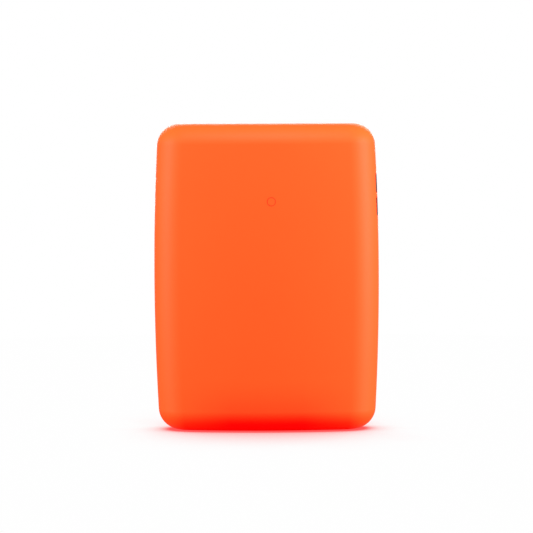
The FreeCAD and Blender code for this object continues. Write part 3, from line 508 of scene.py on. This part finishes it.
METAL = dict(metal=1.0, grain=2200.0, stretch=(1.0, 1.0, 0.06))
FINISHES = {
    "black_rubber": dict(colour=(0.03, 0.014, 0.006), rough=(0.85, 0.97), grain=1800.0,
                         Specular_IOR_Level=0.02),
    "dark_sheet_steel": dict(colour=(0.1, 0.09, 0.085), rough=(0.3, 0.45), **METAL),
    "black_moulding": dict(colour=(0.02, 0.02, 0.02), rough=(0.35, 0.5)),
    "gold_contact": dict(colour=(0.83, 0.6, 0.22), rough=(0.18, 0.3), **METAL),
    "white_moulding": dict(colour=(0.8, 0.79, 0.74), rough=(0.4, 0.55)),
    "clear_moulding": dict(colour=(0.93, 0.92, 0.9), rough=(0.3, 0.45),
                           Transmission_Weight=0.45),
    "lamp_white": dict(colour=(0.9, 0.88, 0.72), rough=(0.15, 0.3)),
    "green_board": dict(colour=(0.02, 0.17, 0.06), vary=0.3, rough=(0.25, 0.4), cloud=700.0),
    "zinc_steel": dict(colour=(0.66, 0.66, 0.68), rough=(0.25, 0.4), **METAL),
    "turned_brass": dict(colour=(0.75, 0.55, 0.22), rough=(0.25, 0.38), metal=1.0,
                         grain=3000.0),
    "ferrite": dict(colour=(0.07, 0.07, 0.078), vary=0.25, rough=(0.55, 0.8), cloud=2500.0,
                    relief=0.02 * MM),
    "chip_black": dict(colour=(0.025, 0.025, 0.027), vary=0.15, rough=(0.45, 0.6)),
    "ceramic_tan": dict(colour=(0.5, 0.36, 0.22), rough=(0.3, 0.5), cloud=1200.0),
    "shunt_copper": dict(colour=(0.7, 0.36, 0.2), rough=(0.25, 0.4), **METAL),
    "capacitor_can": dict(colour=(0.78, 0.78, 0.8), rough=(0.2, 0.32), metal=1.0,
                          grain=2600.0),
    "thermal_grey": dict(colour=(0.36, 0.42, 0.5), rough=(0.7, 0.85), relief=0.03 * MM),
    "plain_aluminium": dict(colour=(0.72, 0.73, 0.75), rough=(0.28, 0.42), **METAL),
    "cell_steel": dict(colour=(0.68, 0.67, 0.65), rough=(0.22, 0.34), **METAL),
    "cell_sleeve": dict(colour=(0.05, 0.22, 0.42), rough=(0.12, 0.24), grain=500.0,
                        Coat_Weight=0.4),
    "washer_paper": dict(colour=(0.82, 0.8, 0.72), rough=(0.8, 0.95), grain=4000.0,
                         relief=0.02 * MM),
    "nickel": dict(colour=(0.7, 0.67, 0.6), rough=(0.2, 0.34), **METAL),
    "foam_grey": dict(colour=(0.1, 0.1, 0.105), vary=0.3, rough=(0.85, 1.0), grain=1600.0,
                      relief=0.2 * MM),
    "wire_black": dict(colour=(0.02, 0.02, 0.021), rough=(0.4, 0.55), grain=900.0),
    "wire_red": dict(colour=(0.55, 0.02, 0.015), rough=(0.4, 0.55), grain=900.0),
    "bead_black": dict(colour=(0.03, 0.03, 0.035), rough=(0.1, 0.2), Coat_Weight=0.5),
}
finishes = {name: surface(name, **look) for name, look in FINISHES.items()}
for name, look in FINISHES.items():
    if look.get("metal") or "moulding" in name or "black" in name:
        lighter_edges(finishes[name])
finishes["case_orange"] = orange_material("case_orange", ORANGE, (0.5, 0.62))
finishes["button_orange"] = orange_material("button_orange", ORANGE, (0.36, 0.46))
finishes["soft_plug_orange"] = orange_material("soft_plug_orange", PLUG_ORANGE, (0.6, 0.72))
mark_orange = orange_material("mark_orange", MARK_ORANGE, (0.5, 0.6))
for node in nodes.values():
    for part in node.material_slots:
        part.material = finishes[part.material.name.split(".")[0]]


# ---------------------------------------------------------------- pieces

def half_case(name, front):
    """One half of the case as a closed wall, with a small round along its seam."""
    bm = bmesh.new()
    outer, inner = ([[bm.verts.new((x, y, z)) for x, y in half_outline(z, pull, front)]
                     for z, pull in levels(inset)] for inset in (0.0, WALL))
    last = len(outer[0]) - 1
    for rows in (outer, inner):
        for low, high in zip(rows, rows[1:]):
            for k in range(last):
                bm.faces.new((low[k], low[k + 1], high[k + 1], high[k]))
        bm.faces.new(rows[0])
        bm.faces.new(rows[-1])
    for k in (0, last):
        for r in range(len(outer) - 1):
            bm.faces.new((outer[r][k], outer[r + 1][k], inner[r + 1][k], inner[r][k]))
    for r in (0, -1):
        bm.faces.new((outer[r][0], outer[r][last], inner[r][last], inner[r][0]))
    bmesh.ops.recalc_face_normals(bm, faces=bm.faces)
    seam = {row[k] for row in outer for k in (0, last)}
    edges = [edge for edge in bm.edges
             if all(v in seam for v in edge.verts) and edge.calc_face_angle(0.0) > CREASE]
    bmesh.ops.bevel(bm, geom=edges, offset=SEAM_RADIUS, segments=SEAM_SEGMENTS, profile=0.5,
                    affect="EDGES")
    return finished(bm, name)


def front_cutters():
    """The openings in the front half: two sockets, the button, four lights and the mark."""
    made = []
    for port in PORTS:
        low, high = box("port_lip_" + port)
        across = (high - low)[2] + 2 * LIP_GAP
        thick = (high - low)[1] + 2 * LIP_GAP
        made.append(slot_bar("port_hole_" + port, (low + high) / 2, across, thick,
                             high[0] - INTO, HALF_WIDTH + PAST, "x"))
    below, above = HEIGHT - INTO, HEIGHT + PAST
    made.append(slot_bar("button_hole", (BUTTON_X, TOP_ROW_Y, 0), *BUTTON_HOLE, below, above, "z"))
    first = box("light_pipe")[0][0] + PIN_INSET
    for k in range(PIN_COUNT):
        made.append(slot_bar("pin_hole", (first + PIN_PITCH * k, TOP_ROW_Y, 0), PIN_HOLE, PIN_HOLE,
                             below, above, "z"))
    made.append(tube_along_y("mark", MARK_X, MARK_Z, MARK_OUTER, MARK_INNER, MARK_FACE - 2 * MM,
                             MARK_FACE + MARK_DEPTH))
    return made


def button_cap():
    """The push button: a cap with soft edges and a slight dish, its flange and its stem."""
    low, high = box("power_button")
    width, height = (high - low)[0], (high - low)[1]
    cap_width, cap_height = BUTTON_HOLE[0] - BUTTON_GAP, BUTTON_HOLE[1] - BUTTON_GAP
    narrow = (width - 2 * FLANGE_CHAMFER, height - 2 * FLANGE_CHAMFER)
    under = HEIGHT - WALL - FLANGE_UNDER
    shoulder = under + FLANGE_HEIGHT
    top = high[2]
    outlines = [(under, *narrow), (under + FLANGE_CHAMFER, width, height),
                (shoulder - FLANGE_CHAMFER, width, height), (shoulder, *narrow),
                (shoulder + CAP_STEP, cap_width, cap_height)]
    for k in range(BUTTON_ROUND_STEPS + 1):
        turn = math.pi / 2 * k / BUTTON_ROUND_STEPS
        pull = 2 * BUTTON_ROUND * (1 - math.cos(turn))
        outlines.append((top - BUTTON_ROUND * (1 - math.sin(turn)), cap_width - pull,
                         cap_height - pull))
    for share, dip in BUTTON_DISH:
        outlines.append((top - dip, cap_width - cap_height * (1 - share), cap_height * share))
    made = slot_stack("power_button_cap", (BUTTON_X, TOP_ROW_Y, 0), outlines, "z")
    stem = slot_bar("stem", (BUTTON_X, STEM_Y, 0), STEM_WIDTH, STEM_WIDTH, low[2],
                    under + STEM_OVERLAP, "z")
    carve(made, [stem], "UNION")
    smooth(made, CAP_SHARP)
    return made


def plug_set():
    """Four soft plugs with domed faces over the case screws."""
    low, high = box("screw_plugs")
    width = 2 * (PLUG_RADIUS - PLUG_GAP)
    shape = ((low[1], 0.85), (low[1] + 0.4 * MM, 1.0), (high[1] - 0.25 * MM, 1.0),
             (high[1] - 0.1 * MM, 0.97), (high[1] - 0.02 * MM, 0.88), (high[1], 0.6))
    bm = bmesh.new()
    for x, z in PLUG_PLACES:
        one = slot_stack("plug", (x, 0, z), [(y, width * share, width * share)
                                             for y, share in shape], "y")
        bm.from_mesh(one.data)
        bpy.data.objects.remove(one)
    made = finished(bm, "screw_plug_set")
    smooth(made, CAP_SHARP)
    return made


def port_lip(port):
    """The rubber ring in a port hole, a little below the case's side, with round edges."""
    low, high = box("port_lip_" + port)
    centre = (low + high) / 2
    width, height = (high - low)[2], (high - low)[1]
    around = obround_ring(width, height, SLOT_STEPS)
    inner = obround_ring(width - 2 * LIP_WALL, height - 2 * LIP_WALL, SLOT_STEPS)
    # each step: its shift across the wall in edge rounds, and its drop below the side
    edge_steps = ((0.0, None), (0.0, LIP_ROUND), (0.3, LIP_ROUND * 0.3), (1.0, 0.0))
    bm = bmesh.new()
    rows = []
    for ring, other in ((around, inner), (inner, around)):
        rounds = []
        for shift, drop in edge_steps:
            share = LIP_ROUND * shift / LIP_WALL
            row = []
            for (a, b), (c, d) in zip(ring, other):
                y, z = centre[1] + b + (d - b) * share, centre[2] + a + (c - a) * share
                x = low[0] if drop is None else side_surface(y, z) - LIP_SINK - drop
                row.append(bm.verts.new((x, y, z)))
            rounds.append(row)
        rows += rounds if ring is around else rounds[::-1]
    for one, two in zip(rows, rows[1:] + rows[:1]):
        band(bm, one, two)
    made = finished(bm, "port_rubber_" + port)
    smooth(made, LIP_SHARP)
    return made


MARK_FACE = -(HALF_DEPTH - FRONT_CROWN * rise_at(MARK_Z) ** 2)
front = half_case("front_case_half", True)
rear = half_case("rear_case_half", False)
carve(front, front_cutters())
carve(rear, [slot_bar("plug_hole", (x, 0, z), 2 * PLUG_RADIUS, 2 * PLUG_RADIUS,
                      HALF_DEPTH - INTO, HALF_DEPTH + PAST, "y") for x, z in PLUG_PLACES])
for piece, node in ((front, "front_shell"), (rear, "rear_cover")):
    follow_form(piece)
    hand_over(piece, finishes["case_orange"], "case", node)

hand_over(button_cap(), finishes["button_orange"], "button", "power_button")
hand_over(plug_set(), finishes["soft_plug_orange"], "case", "screw_plugs")
for port in PORTS:
    hand_over(port_lip(port), finishes["black_rubber"], "case", "port_lip_" + port)

# a plain printed ring lying in the front face's shallow groove, which no CAD node stands for
mark = tube_along_y("mark_ring", MARK_X, MARK_Z, MARK_OUTER - INLAY_GAP, MARK_INNER + INLAY_GAP,
                    MARK_FACE + MARK_DEPTH - INLAY_FLOOR, MARK_FACE + MARK_DEPTH - INLAY_FACE)
hand_over(mark, mark_orange, "case")


# ---------------------------------------------------------------- floor, lights and camera

FLOOR_RADIUS = 0.5
FLOOR_SIDES = 96
FLOOR_BOUNCE = (0.06, 0.03, 0.03)
PAINTED_SHADOW_PINK = (1.0, 0.1, 0.1)
PAINTED_SHADOW_REACH = 140 * MM
PAINTED_SHADOW_RANGE = (0.3, 0.82)
AMBIENT = 0.04
AIM = Vector((0, 0, 0.075))
# each light: its place, its width and height in metres, its power in watts
LAMPS = {
    "key_above": ((0.0, -0.5, 0.7), (0.45, 0.3), 6.6),
    "left_panel": ((-0.76, -0.17, 0.24), (0.3, 0.4), 6.6),
    "right_panel": ((0.76, -0.13, 0.24), (0.3, 0.4), 9.2),
    "rear_panel": ((0.0, 0.8, 0.3), (0.7, 0.5), 9.0),
}
CAMERA_PLACE = (0.0, -1.1, 0.137)
CAMERA_TILT = math.radians(3.0)
CAMERA_ROLL = math.radians(0.26)


def floor_material():
    """White paper with a painted pink shadow around its foot: painted shade and painted red bounce
    of the case's colour where the case stands close. The camera sees the paper evenly lit; its
    bounce onto the object is kept low, so that the foot turns dark underneath."""
    made, tree, shader = new_material("studio_floor")
    seen = tree.nodes.new("ShaderNodeLightPath").outputs["Is Camera Ray"]
    tree.links.new(blend(tree, seen, FLOOR_BOUNCE, (0, 0, 0)), shader.inputs["Base Color"])
    # painted shadow: pink shade and red bounce painted on the floor where ambient occlusion finds
    # the case close
    openness = ramp(tree, openness_near(tree, PAINTED_SHADOW_REACH, 16), *PAINTED_SHADOW_RANGE, 0.0, 1.0)
    grain = noise_on(tree, object_coords(tree), 900.0)
    paper = blend(tree, grain, (0.99,) * 3, (1.0,) * 3)
    tree.links.new(blend(tree, openness, PAINTED_SHADOW_PINK, paper), shader.inputs["Emission Color"])
    tree.links.new(seen, shader.inputs["Emission Strength"])
    shader.inputs["Roughness"].default_value = 0.9
    shader.inputs["Specular IOR Level"].default_value = 0.0
    return made


bm = bmesh.new()
bmesh.ops.create_circle(bm, cap_ends=True, segments=FLOOR_SIDES, radius=FLOOR_RADIUS)
floor = finished(bm, "studio_floor")
floor.data.materials.append(floor_material())

scene = bpy.context.scene
for name, (place, size, power) in LAMPS.items():
    data = bpy.data.lights.new(name, "AREA")
    data.shape = "RECTANGLE"
    data.size, data.size_y = size
    data.energy = power
    lamp = bpy.data.objects.new(name, data)
    scene.collection.objects.link(lamp)
    lamp.location = place
    lamp.rotation_euler = (AIM - Vector(place)).to_track_quat("-Z", "Y").to_euler()

# a white surround for the camera, which lights the object only faintly
world = bpy.data.worlds.new("studio_world")
world.use_nodes = True
scene.world = world
scene.view_settings.view_transform = "Standard"
tree = world.node_tree
path = tree.nodes.new("ShaderNodeLightPath")
strength = ramp(tree, path.outputs["Is Camera Ray"], 0.0, 1.0, AMBIENT, 1.0)
background = tree.nodes["Background"]
tree.links.new(strength, background.inputs["Strength"])
background.inputs["Color"].default_value = (1, 1, 1, 1)

camera_data = bpy.data.cameras.new("camera")
camera_data.lens = 167.7
camera_data.sensor_width = 36
camera_data.clip_end = 50
camera_data.shift_y = -0.0284
camera = bpy.data.objects.new("camera", camera_data)
scene.collection.objects.link(camera)
scene.camera = camera
camera.location = CAMERA_PLACE
turn = (Matrix.Rotation(math.pi / 2 - CAMERA_TILT, 4, "X")
        @ Matrix.Rotation(-CAMERA_ROLL, 4, "Z"))
camera.rotation_mode = "QUATERNION"
camera.rotation_quaternion = turn.to_quaternion()
